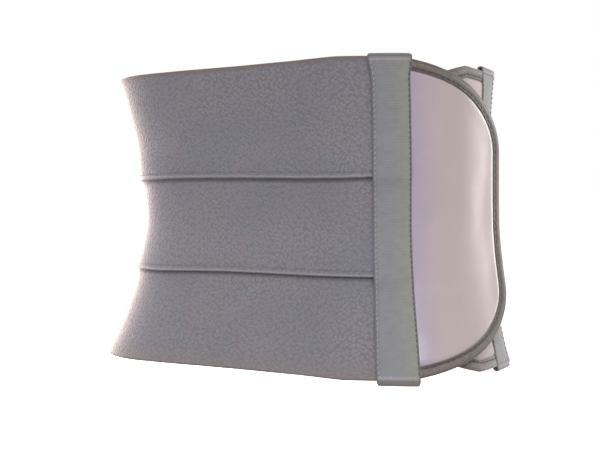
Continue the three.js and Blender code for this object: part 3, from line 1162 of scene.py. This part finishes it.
@dataclass(frozen=True)
class Tape:
    """Woven tape over the joint of the elastic and a flap, folded over both rims and turned inside.

    In the flat state x goes from the elastic's side to the flap's side.
    """

    node: str
    station: float
    elastic_level: float
    side: int
    torso: Torso
    layers: Layers
    panels: tuple[ElasticPanel, ...]
    room_top: float = 0.0008
    room_bottom: float = 0.0024
    corner: float = 0.0013
    turned_in: float = 0.01
    turned_rows: int = 5
    edge_out: float = 0.001
    # Rows of stitches: how far in from the edge they lie, and how wide their channels are
    elastic_stitch: float = 0.0018
    elastic_channel: float = 0.0018
    flap_stitch: float = 0.001
    flap_channel: float = 0.0016
    end_stitch: float = 0.0031
    end_channel: float = 0.002
    stitch_depth: float = 0.0003
    stitch_out: float = 0.0002
    crown: float = 0.00012
    hem_reach: float = 0.001
    bridge: float = 0.006
    bridge_steps: int = 4
    flap_ease: float = 0.35
    flap_ease_start: float = 0.001
    flap_ease_length: float = 0.008
    back_step_start: float = 0.0005
    back_step_length: float = 0.006
    row_step: float = 0.0013
    edge_radius: float = 0.00035
    fold_steps: int = 12
    # Shares of the width at which the columns of one half lie, close together at the stitches
    across: tuple[float, ...] = (
        0.0, 0.012, 0.028, 0.041, 0.053, 0.066, 0.08, 0.1, 0.13, 0.18, 0.25, 0.33, 0.42, 0.5,
    )

    @property
    def flat_level(self) -> float:
        """The level of the tape's back on the flap."""
        return self.elastic_level + self.layers.channel + self.layers.flap + self.layers.clearance

    def half_width(self, y: float) -> float:
        """Returns half the tape's width at a height: it spreads towards its ends."""
        return self.layers.half_tape(y, self.torso.rim)

    def hem_at(self, y: float) -> float:
        """Returns how far the lapped hems stand out under the tape at a height."""
        for panel in self.panels:
            if panel.has_hem and y >= panel.lower - self.hem_reach:
                up = max(0.0, y - panel.lower)
                return panel.hem_rise(up) + panel.rib_rise * (up < panel.rib_height)
        return 0.0

    def around(self, y: float) -> list[float]:
        """Returns the heights near one height, up and down as far as the tape bridges the hems."""
        count = self.bridge_steps
        return [y + self.bridge * k / count for k in range(-count, count + 1)]

    def ridge(self, y: float) -> float:
        """Returns the highest that the hems stand out near a height."""
        return max(map(self.hem_at, self.around(y)))

    def back_level(self, x: float, y: float) -> float:
        """Finds the level of the tape's back. It bridges the hems, and lies flatter on the flap's side.

        Args:
            x: Place across the tape.
            y: Height.

        Returns:
            The level.
        """
        over = self.elastic_level + self.layers.elastic + self.layers.clearance
        near = self.around(y)
        eased = sum(map(self.ridge, near)) / len(near)
        level = max(self.flat_level, over + eased)
        share = lerp(1.0, self.flap_ease, smooth((x - self.flap_ease_start) / self.flap_ease_length))
        return lerp(self.flat_level, level, share)

    def fold_level(self, x: float, inward: float) -> float:
        """Finds the level of the middle of the wall in the fold and in what is turned in.

        Args:
            x: Place across the tape.
            inward: Way from the outer layer, 0, to the inner one, 1, which follows the elastic's back
                and then the flap's.

        Returns:
            The level.
        """
        half_wall = self.layers.tape / 2
        step = smooth((x - self.back_step_start) / self.back_step_length)
        back = self.elastic_level + self.layers.channel * step
        return lerp(self.flat_level + half_wall, back - self.layers.clearance - half_wall, inward)

    def fold(self, sign: int) -> list[TapeBend]:
        """Finds the fold over a rim, from the inside to the outside.

        Args:
            sign: 1 for the top rim, -1 for the bottom rim.

        Returns:
            The rows of the fold.
        """
        start = self.torso.rim + self.layers.clearance
        rise = (self.room_top if sign > 0 else self.room_bottom) + self.layers.tape / 2
        rows = []
        length = 0.0
        last = (start, self.fold_level(0.0, 0.0))
        for step in range(self.fold_steps + 1):
            turn = math.pi * step / self.fold_steps
            inward = (1 - math.cos(turn)) / 2
            place = (start + rise * math.sin(turn), self.fold_level(0.0, inward))
            length += math.dist(place, last)
            last = place
            rows.append(TapeBend(sign * place[0], inward, sign * (start + length), False, math.sin(turn)))
        return rows[::-1]

    def bends(self) -> list[TapeBend]:
        """Returns the rows from the lower turned-in end, round the outside, to the upper one."""
        low = self.fold(-1)
        high = self.fold(1)[::-1]
        start = self.torso.rim + self.layers.clearance
        count = round(2 * start / self.row_step)
        face = [lerp(-start, start, i / count) for i in range(1, count)]

        def turned(end: TapeBend, sign: int) -> list[TapeBend]:
            """Finds the part that is turned in at a rim.

            Args:
                end: The fold's last row inside.
                sign: 1 for the top rim, -1 for the bottom rim.

            Returns:
                Its rows, from the cut end to the fold.
            """
            count = self.turned_rows
            steps = [self.turned_in * i / count for i in range(count, 0, -1)]
            return [TapeBend(sign * (start - s), end.inward, end.cut + sign * s, False) for s in steps]

        rows = turned(low[0], -1) + low
        rows += [TapeBend(y, 0.0, y, True) for y in face]
        return rows + high + turned(high[-1], 1)[::-1]

    def wrap(self, point: Vector) -> Vector:
        """Returns the place of a point of the flat tape on the hollow."""
        return self.torso.place(self.station + self.side * point.x, point.y, point.z)

    def relief(self, x: float, y: float, half: float) -> float:
        """Returns the relief of the face: its slight crown, and the channels that the stitches sink."""
        left = half + x
        right = half - x
        ends = self.torso.rim - self.end_stitch - abs(y)
        inside = min(left - self.elastic_stitch, right - self.flap_stitch) > 0
        channel = max(
            dip(left - self.elastic_stitch, self.elastic_channel),
            dip(right - self.flap_stitch, self.flap_channel),
            dip(ends, self.end_channel) * inside,
        )
        return self.crown * (1 - (x / half) ** 2) - self.stitch_depth * channel

    def build(self, finish: Material) -> None:
        """Builds the tape.

        Args:
            finish: The tape's finish.
        """
        rows = self.bends()
        stops = list(self.across) + [1 - share for share in self.across[-2::-1]]

        def row_at(v: float) -> TapeBend:
            """Returns the row at a share of the way along the tape."""
            return rows[round(v * (len(rows) - 1))]

        def flat(u: float, v: float) -> Vector:
            """Finds a place in the flat state.

            Args:
                u: Share of the width, from the elastic's side.
                v: Share of the way along the tape, from the lower end.

            Returns:
                The place.
            """
            row = row_at(v)
            half = self.half_width(row.height) - self.corner * row.turn**2
            x = (2 * graded(stops, u) - 1) * half
            x -= self.edge_out * (1 - graded(stops, u))
            if not row.is_face:
                return Vector((x, row.height, self.fold_level(x, row.inward)))
            level = self.back_level(x, row.height) + self.layers.tape / 2
            return Vector((x, row.height, level + self.relief(x, row.height, half)))

        def cut(u: float, v: float) -> Vector:
            """Returns the place on the cut tape for the same shares."""
            return Vector(((2 * graded(stops, u) - 1) * self.layers.tape_width / 2, row_at(v).cut, 0.0))

        mesh = flat_grid(len(stops) - 1, len(rows) - 1, flat, cut)
        thicken(mesh, self.layers.tape)
        soften_edges(mesh, self.edge_radius)
        wrapped(mesh, self.wrap)
        piece = finished_piece(f"{self.node}_webbing", mesh, finish, [self.node])

    def sewn_at(self, x: float, y: float) -> Vector:
        """Returns the middle of a stitch at a point of the flat tape, sunk into its channel."""
        sunk = self.layers.tape - self.stitch_depth + self.stitch_out
        return Vector((x, y, self.back_level(x, y) + sunk))

    def side_row(self, sign: int, inward: float) -> list[Vector]:
        """Returns the line of the stitches along one side, which is a distance in from its edge."""
        end = self.torso.rim - self.end_stitch
        line = []
        steps = 100
        for i in range(steps + 1):
            y = lerp(-end, end, i / steps)
            x = sign * (self.half_width(y) - inward) - self.edge_out * (sign < 0)
            line.append(self.sewn_at(x, y))
        return line

    def end_row(self, sign: int) -> list[Vector]:
        """Returns the line of the stitches across one end."""
        y = sign * (self.torso.rim - self.end_stitch)
        half = self.half_width(y)
        start = self.elastic_stitch - half
        steps = 8
        return [self.sewn_at(lerp(start, half - self.flap_stitch, i / steps), y) for i in range(steps + 1)]

    def sew(self, pale: Material, dark: Material) -> None:
        """Sews the tape down.

        Args:
            pale: The thread on the elastic's side and across the ends.
            dark: The same thread drawn darker for the flap's side: its colour paints the shade there.
        """
        edge = {"pitch": 0.0037, "length": 0.0026}
        rows = [Seam(self.side_row(-1, self.elastic_stitch), thickness=0.0018, **edge)]
        for sign in (-1, 1):
            line = self.end_row(sign)
            rows.append(Seam(line, pitch=0.0031, length=0.0024, thickness=0.001, slant=0.9 * sign))
        sewn = joined([row.sewn(self.wrap) for row in rows])
        finished_piece(f"{self.node}_webbing_stitches", sewn, pale, [])
        # The flap's side row takes the darker thread, whose colour paints the shade there
        shaded_row = Seam(self.side_row(1, self.flap_stitch), thickness=0.0008, **edge).sewn(self.wrap)
        finished_piece(f"{self.node}_webbing_flap_stitches", shaded_row, dark, [])


# Flaps


class FlapKind(Enum):
    """Which of the two flaps a flap is."""

    CLOSURE = "closure"
    UNDER = "under"


@dataclass(frozen=True)
class FlapOutline:
    """Outline of a flap's upper half: a straight length, a taper and a round corner. The lower mirrors it."""

    layers: Layers
    rim: float
    straight: float
    reach: float = 0.104
    shoulder_drop: float = 0.0015
    end_height: float = 0.1
    taper_reach: float = 0.5
    taper_drop: float = 0.14
    corner_pull: float = 0.54
    tuck: float = 0.002
    step: float = 0.0022

    def point(self, share: float) -> Vector:
        """Returns the point at a share of the curve from the shoulder to the straight end."""
        start = Vector((self.layers.tape_edge, self.rim - self.shoulder_drop))
        end = Vector((self.reach, self.end_height / 2))
        first = Vector((lerp(start.x, end.x, self.taper_reach), lerp(start.y, end.y, self.taper_drop)))
        second = Vector((end.x, lerp(end.y, start.y, self.corner_pull)))
        rest = 1 - share
        curve = start * rest**3 + first * 3 * rest**2 * share + second * 3 * rest * share**2 + end * share**3
        return curve + Vector((self.straight, 0.0))

    def upper(self) -> list[Vector]:
        """Returns evenly spaced points of the upper half, from the tape to the straight end."""
        steps = 200
        samples = [self.point(i / steps) for i in range(steps + 1)]
        samples.insert(0, samples[0] - Vector((self.straight + self.tuck, 0.0)))
        return spaced(samples, self.step)

    def whole(self) -> list[Vector]:
        """Returns evenly spaced points of the whole outline, from the tape round to the tape."""
        upper = self.upper()
        lower = [Vector((point.x, -point.y)) for point in reversed(upper)]
        return spaced(upper + lower, self.step)


def inwards(points: Sequence[Vector]) -> list[Vector]:
    """Returns the direction into the flap at each point of its outline."""
    made = []
    for i in range(len(points)):
        along = points[min(i + 1, len(points) - 1)] - points[max(i - 1, 0)]
        made.append(Vector((along.y, -along.x)).normalized())
    return made


@dataclass(frozen=True)
class Flap:
    """A bound flap: a satin panel whose edge sits in a folded and stitched binding."""

    kind: FlapKind
    torso: Torso
    layers: Layers
    under_straight: float = 0.03
    lift_start: float = 0.03
    lift_top: float = 0.008
    lift_bottom: float = 0.013
    panel_rows: int = 96
    tucked_columns: int = 6
    rim_step: float = 0.0006
    puff: float = 0.0012
    puff_start: float = 0.0052
    puff_length: float = 0.0042
    pinch: float = 0.0003
    ripple: float = 0.0005
    ripple_start: float = 0.008
    ripple_length: float = 0.02
    ripple_width: float = 0.03
    ripple_stretch: float = 0.7
    # The binding: its face's relief, and the distances in from the edge at which it lies
    binding_width: float = 0.008
    binding_stitch: float = 0.0063
    binding_columns: int = 36
    edge_radius: float = 0.0002
    channel_depth: float = 0.00055
    channel_width: float = 0.0032
    crown: float = 0.00025
    crown_start: float = 0.002
    crown_end: float = 0.0035
    crown_fade: float = 0.002
    lip: float = 0.00035
    lip_start: float = 0.0068
    lip_fade: float = 0.0012
    gather: float = 0.00012
    gather_pitch: float = 0.005
    gather_start: float = 0.001
    gather_fade: float = 0.004
    stitch_sunk: float = 0.0004

    @property
    def name(self) -> str:
        """The flap's name."""
        return f"{self.kind.value}_flap"

    @property
    def outline(self) -> FlapOutline:
        """The flap's outline."""
        straight = self.under_straight if self.kind is FlapKind.UNDER else 0.0
        return FlapOutline(self.layers, self.torso.rim, straight)

    def base(self, reach: float, y: float) -> float:
        """Returns the flap's innermost level. The closure flap's end stands off, most at the bottom."""
        if self.kind is FlapKind.UNDER:
            return 0.0
        share = max(0.0, reach - self.lift_start) / (self.outline.reach - self.lift_start)
        rim = self.torso.rim
        lift = lerp(self.lift_bottom, self.lift_top, (y + rim) / (2 * rim))
        return self.layers.over_base + lift * share * share

    def wrap(self, point: Vector) -> Vector:
        """Returns the place of a point of the flat flap on the hollow."""
        under = self.kind is FlapKind.UNDER
        station = self.layers.wrap_overlap - point.x if under else point.x
        return self.torso.place(station, point.y, self.base(point.x, point.y) + point.z)

    def swell(self, x: float, y: float, inward: float) -> float:
        """Finds how far the foam swells, which the binding pinches round the edge.

        Args:
            x: Reach from the tape's middle.
            y: Height.
            inward: Distance in from the panel's edge.

        Returns:
            The swelling of the face.
        """
        free = smooth((inward - self.puff_start) / self.puff_length)
        wide = smooth((inward - self.ripple_start) / self.ripple_length)
        wave = noise.noise(Vector((x, y * self.ripple_stretch, 0.0)) / self.ripple_width)
        return self.puff * free - self.pinch + self.ripple * wave * wide

    def panel(self, cloth: Material) -> None:
        """Builds the satin panel.

        Args:
            cloth: The satin's finish.
        """
        upper = self.outline.upper()
        edges = [point + inward * self.layers.channel for point, inward in zip(upper, inwards(upper))]
        top = self.torso.rim - self.layers.clearance
        under_tape = [
            Vector((lerp(self.layers.clearance, edges[0].x, i / self.tucked_columns), top))
            for i in range(self.tucked_columns)
        ]
        columns = under_tape + edges
        xs = [point.x for point in columns]
        ys = [point.y for point in columns]
        level = self.layers.channel + self.layers.flap / 2
        rim_points = spaced(edges + [Vector((p.x, -p.y)) for p in reversed(edges)], self.rim_step)
        near = KDTree(len(rim_points))
        for index, point in enumerate(rim_points):
            near.insert((point.x, point.y, 0.0), index)
        near.balance()

        def flat(u: float, v: float) -> Vector:
            """Returns the place in the flat state for shares along x and y."""
            across = 2 * v - 1
            return Vector((graded(xs, u), (1.5 * across - 0.5 * across**3) * graded(ys, u), level))

        mesh = flat_grid(len(columns) - 1, self.panel_rows, flat)
        thicken(mesh, self.layers.flap)
        for vert in mesh.verts:
            if vert.co.z > level:
                inward = near.find((vert.co.x, vert.co.y, 0.0))[2]
                vert.co.z += self.swell(vert.co.x, vert.co.y, inward)
        wrapped(mesh, self.wrap)
        piece = finished_piece(f"{self.name}_satin", mesh, cloth, [self.name])
        cut = (self.outline.reach + self.outline.straight, 2 * (self.torso.rim - self.outline.shoulder_drop))
        area = sum((b.x - a.x) * (a.y + b.y) for a, b in zip(columns, columns[1:]))

    @property
    def fold_room(self) -> float:
        """Radius of the binding's fold, to the middle of its wall."""
        return (self.layers.flap_stack - self.layers.binding) / 2

    @property
    def binding_length(self) -> float:
        """Length of the binding's cut across its fold."""
        return 2 * (self.binding_width - self.fold_room) + math.pi * self.fold_room

    def fold(self, length: float) -> tuple[float, float]:
        """Finds a point of the binding's folded section.

        Args:
            length: Length from the front's inner edge, round the fold, to the back's.

        Returns:
            How far in from the outline it lies, and its level in the flap.
        """
        wall = self.layers.binding
        room = self.fold_room
        leg = self.binding_width - room
        arc = math.pi * room
        if length < leg:
            inward = self.binding_width - length
            risen = smooth((inward - self.crown_start) / self.crown_fade)
            crown = risen * (1 - smooth((inward - self.crown_end) / self.crown_fade))
            sewn = dip(inward - self.binding_stitch, self.channel_width)
            lip = smooth((inward - self.lip_start) / self.lip_fade)
            relief = self.crown * crown - self.channel_depth * sewn - self.lip * lip
            return inward, self.layers.flap_stack - wall / 2 + relief
        if length > leg + arc:
            return room + length - leg - arc, wall / 2
        turn = (length - leg) / room
        return room - (room - wall / 2) * math.sin(turn), wall / 2 + room + room * math.cos(turn)

    def tape_side(self, y: float) -> float:
        """Returns the reach at which the binding comes out from beside its tape at a height."""
        return self.layers.half_tape(y, self.torso.rim) + self.layers.clearance

    def bind(self, cloth: Material) -> None:
        """Builds the binding folded round the flap's edge.

        Args:
            cloth: The binding's finish.
        """
        path = self.outline.whole()
        into = inwards(path)
        last = len(path) - 1

        def flat(u: float, v: float) -> Vector:
            """Finds a place in the flat state.

            Args:
                u: Share of the way along the outline.
                v: Share of the way across the folded section, from the front's inner edge.

            Returns:
                The place.
            """
            index = round(u * last)
            inward, z = self.fold(v * self.binding_length)
            point = path[index] + into[index] * inward
            wave = math.sin(2 * math.pi * index * self.outline.step / self.gather_pitch)
            lies_on_face = z > self.layers.flap_stack / 2
            share = smooth((inward - self.gather_start) / self.gather_fade)
            z += self.gather * wave * share * lies_on_face
            return Vector((max(point.x, self.tape_side(point.y)), point.y, z))

        def cut(u: float, v: float) -> Vector:
            """Returns the place on the cut binding for the same shares."""
            return Vector((u * last * self.outline.step, v * self.binding_length, 0.0))

        mesh = flat_grid(last, self.binding_columns, flat, cut)
        thicken(mesh, self.layers.binding)
        soften_edges(mesh, self.edge_radius, 1)
        wrapped(mesh, self.wrap)
        piece = finished_piece(f"{self.name}_edge", mesh, cloth, [f"{self.name}_binding"])
        cut_size = (self.binding_length, walked(path)[-1])

    def sew(self, thread: Material) -> None:
        """Sews the binding on.

        Args:
            thread: The thread's finish.
        """
        path = self.outline.whole()
        z = self.layers.flap_stack - self.stitch_sunk
        line = []
        for point, inward in zip(path, inwards(path)):
            sewn = point + inward * self.binding_stitch
            if sewn.x > self.tape_side(sewn.y):
                line.append(Vector((sewn.x, sewn.y, z)))
        stitches = Seam(line, pitch=0.005, length=0.0037, thickness=0.0008).sewn(self.wrap)
        finished_piece(f"{self.name}_edge_stitches", stitches, thread, [])

    def build(self, satin: Material, binding: Material, thread: Material) -> None:
        """Builds the whole flap.

        Args:
            satin: The panel's finish.
            binding: The binding's finish.
            thread: The thread's finish.
        """
        self.panel(satin)
        self.bind(binding)
        self.sew(thread)


# Hook pad


@dataclass(frozen=True)
class HookPad:
    """Hook tape sewn behind the closure flap: a thin base with rows of hooks that face the under flap."""

    closure: Flap
    start: float = 0.024
    width: float = 0.038
    height: float = 0.156
    base_wall: float = 0.0008
    base_gap: float = 0.0001
    edge_radius: float = 0.0002
    base_step: float = 0.002
    pitch: float = 0.0021
    first: float = 0.75
    hook_wire: float = 0.0004
    hook_height: float = 0.001
    hook_room: float = 0.00115
    # The hook's bends in its own plane, as shares of its height
    hook_bends: tuple[tuple[float, float], ...] = (
        (0.0, 0.0), (0.0, 0.45), (0.18, 0.8), (0.5, 0.95), (0.8, 0.8), (0.9, 0.55),
    )

    def level(self, x: float, y: float) -> float:
        """Returns the level of the closure flap's back over the pad."""
        layers = self.closure.layers
        return self.closure.base(x, y) + layers.channel - layers.clearance

    def wrap(self, point: Vector) -> Vector:
        """Returns the place of a point whose z is its depth below the closure flap's back."""
        return self.closure.torso.place(point.x, point.y, self.level(point.x, point.y) - point.z)

    def base(self, nylon: Material) -> None:
        """Builds the tape that the hooks stand on.

        Args:
            nylon: The hook tape's finish.
        """

        def flat(u: float, v: float) -> Vector:
            """Returns the place in the flat state for shares along x and y."""
            y = (v - 0.5) * self.height
            return Vector((self.start + self.width * u, y, self.base_gap + self.base_wall / 2))

        mesh = flat_grid(round(self.width / self.base_step), round(self.height / self.base_step), flat)
        thicken(mesh, self.base_wall)
        soften_edges(mesh, self.edge_radius, 1)
        wrapped(mesh, self.wrap)
        piece = finished_piece("hook_base", mesh, nylon, ["hook_pad"])

    def hooks(self, nylon: Material) -> None:
        """Builds the rows of hooks.

        Args:
            nylon: The hook tape's finish.
        """
        across = int(self.width / self.pitch)
        up = int(self.height / self.pitch)
        mesh = bmesh.new()
        bmesh.ops.create_circle(mesh, cap_ends=True, segments=5, radius=self.hook_wire / 2)
        tip = mesh.faces[:]
        for (x0, z0), (x1, z1) in zip(self.hook_bends, self.hook_bends[1:]):
            grown = bmesh.ops.extrude_discrete_faces(mesh, faces=tip)
            tip = grown["faces"]
            step = Vector(((x1 - x0) * self.hook_height, 0.0, (z1 - z0) * self.hook_height))
            bmesh.ops.translate(mesh, verts=list({v for face in tip for v in face.verts}), vec=step)
        layers = self.closure.layers
        under_face = layers.channel + layers.flap + layers.clearance
        for number, verts in repeated(mesh, across * up).items():
            x = self.start + self.pitch * (number % across + self.first)
            y = -self.height / 2 + self.pitch * (number // across + self.first)
            depth = self.level(x, y) - under_face - self.base_wall
            tall = min(1.0, depth / self.hook_room)
            lean = 1 if number % 2 else -1
            for vert in verts:
                z = self.base_gap + self.base_wall + vert.co.z * tall
                vert.co = Vector((x + vert.co.x * lean, y + vert.co.y, z))
        wrapped(mesh, self.wrap)
        finished_piece("hook_field", mesh, nylon, [])

    def build(self) -> None:
        """Builds the pad."""
        nylon = HookNylon().material()
        self.base(nylon)
        self.hooks(nylon)


# Studio


@dataclass(frozen=True)
class Lamp:
    """A soft light that faces the middle of the binder: a wide sun, or a square softbox."""

    name: str
    azimuth: float
    elevation: float
    strength: float
    tint: str = "#ffffff"
    softbox: float = 0.0
    distance: float = 1.5
    sun_spread: float = 25.0

    def build(self) -> None:
        """Sets the light up."""
        data = bpy.data.lights.new(self.name, "AREA" if self.softbox else "SUN")
        data.energy = self.strength
        data.color = linear(self.tint)[:3]
        if self.softbox:
            data.size = self.softbox
        else:
            data.angle = math.radians(self.sun_spread)
        a = math.radians(self.azimuth)
        e = math.radians(self.elevation)
        back = Vector((math.sin(a) * math.cos(e), -math.cos(a) * math.cos(e), math.sin(e)))
        turned = back.to_track_quat("Z", "Y").to_matrix().to_4x4()
        placed(self.name, data).matrix_world = Matrix.Translation(back * self.distance) @ turned


@dataclass(frozen=True)
class Studio:
    """Pale floor, pale surroundings, soft lights and the camera."""

    azimuth: float = 28.82
    distance: float = 0.8758
    camera_height: float = 0.00374
    lens: float = 62.6
    shift_x: float = -0.0058
    shift_y: float = -0.0261
    floor_height: float = -0.3
    floor_size: float = 60.0
    floor_paint: str = "#d6d5d4"
    floor_roughness: float = 0.9
    surroundings: str = "#ffffff"
    lamps: tuple[Lamp, ...] = (
        Lamp("key_sun", 30.0, 35.0, 3.8),
        Lamp("right_rear_softbox", 153.0, 6.0, 8.0, "#fff8f6", 0.45),
        Lamp("left_rear_softbox", -106.0, 12.0, 66.0, "#ffeeea", 1.0),
    )

    def camera(self) -> None:
        """Sets up the camera, level and at the height of the binder's middle."""
        data = bpy.data.cameras.new("camera")
        data.lens = self.lens
        data.shift_x = self.shift_x
        data.shift_y = self.shift_y
        made = placed("camera", data)
        a = math.radians(self.azimuth)
        made.location = (self.distance * math.sin(a), -self.distance * math.cos(a), self.camera_height)
        made.rotation_euler = (math.pi / 2, 0.0, a)
        bpy.context.scene.camera = made

    def floor(self) -> None:
        """Lays the floor below the binder, which is held up."""
        mesh = bmesh.new()
        bmesh.ops.create_grid(mesh, x_segments=1, y_segments=1, size=self.floor_size / 2)
        bmesh.ops.translate(mesh, verts=mesh.verts[:], vec=(0.0, 0.0, self.floor_height))
        data = as_data("floor", mesh)
        paint = bpy.data.materials.new("matt_pale_paint")
        paint.use_nodes = True
        shader = paint.node_tree.nodes["Principled BSDF"]
        shader.inputs["Base Color"].default_value = linear(self.floor_paint)
        shader.inputs["Roughness"].default_value = self.floor_roughness
        data.materials.append(paint)
        placed("floor", data)

    def build(self) -> None:
        """Sets up the whole studio."""
        scene = bpy.context.scene
        scene.view_settings.view_transform = "Standard"
        world = bpy.data.worlds.new("surroundings")
        world.use_nodes = True
        world.node_tree.nodes["Background"].inputs[0].default_value = linear(self.surroundings)
        scene.world = world
        self.camera()
        self.floor()
        for lamp in self.lamps:
            lamp.build()


def main() -> None:
    """Builds the binder and its studio."""
    logging.basicConfig(level=logging.INFO, format="%(name)s %(message)s")
    Studio().build()
    torso = Torso()
    layers = Layers()
    body = ElasticBody(torso, layers)
    body.build()

    satin = SatinCloth().material()
    loop_cloth = SatinCloth(name="laminated_satin_loop_cloth", painted_reflection_share=0.0, roughness=0.6, specular=0.3)
    binding = BindingCloth().material()
    binding_thread = Thread(name="spun_binding_thread", colour="#363130").material()
    closure = Flap(FlapKind.CLOSURE, torso, layers)
    closure.build(satin, binding, binding_thread)
    Flap(FlapKind.UNDER, torso, layers).build(loop_cloth.material(), binding, binding_thread)
    HookPad(closure).build()

    webbing = WovenTape(rim=torso.rim, half_width=layers.tape_width / 2).material()
    pale_thread = Thread(name="spun_tape_thread").material()
    # A darker copy of the tape thread: its colour paints the shade on the flap's side
    shaded_thread = Thread(name="spun_tape_thread_in_shade", colour="#454345").material()
    on = {"torso": torso, "layers": layers, "panels": tuple(body.panels())}
    tight = {"room_top": 0.0003, "room_bottom": 0.0003}
    for tape in (
        Tape("front_tape", station=0.0, elastic_level=layers.over_base, side=1, **on),
        Tape("under_tape", station=layers.wrap_overlap, elastic_level=0.0, side=-1, **on, **tight),
    ):
        tape.build(webbing)
        tape.sew(pale_thread, shaded_thread)


if __name__ == "__main__":
    main()
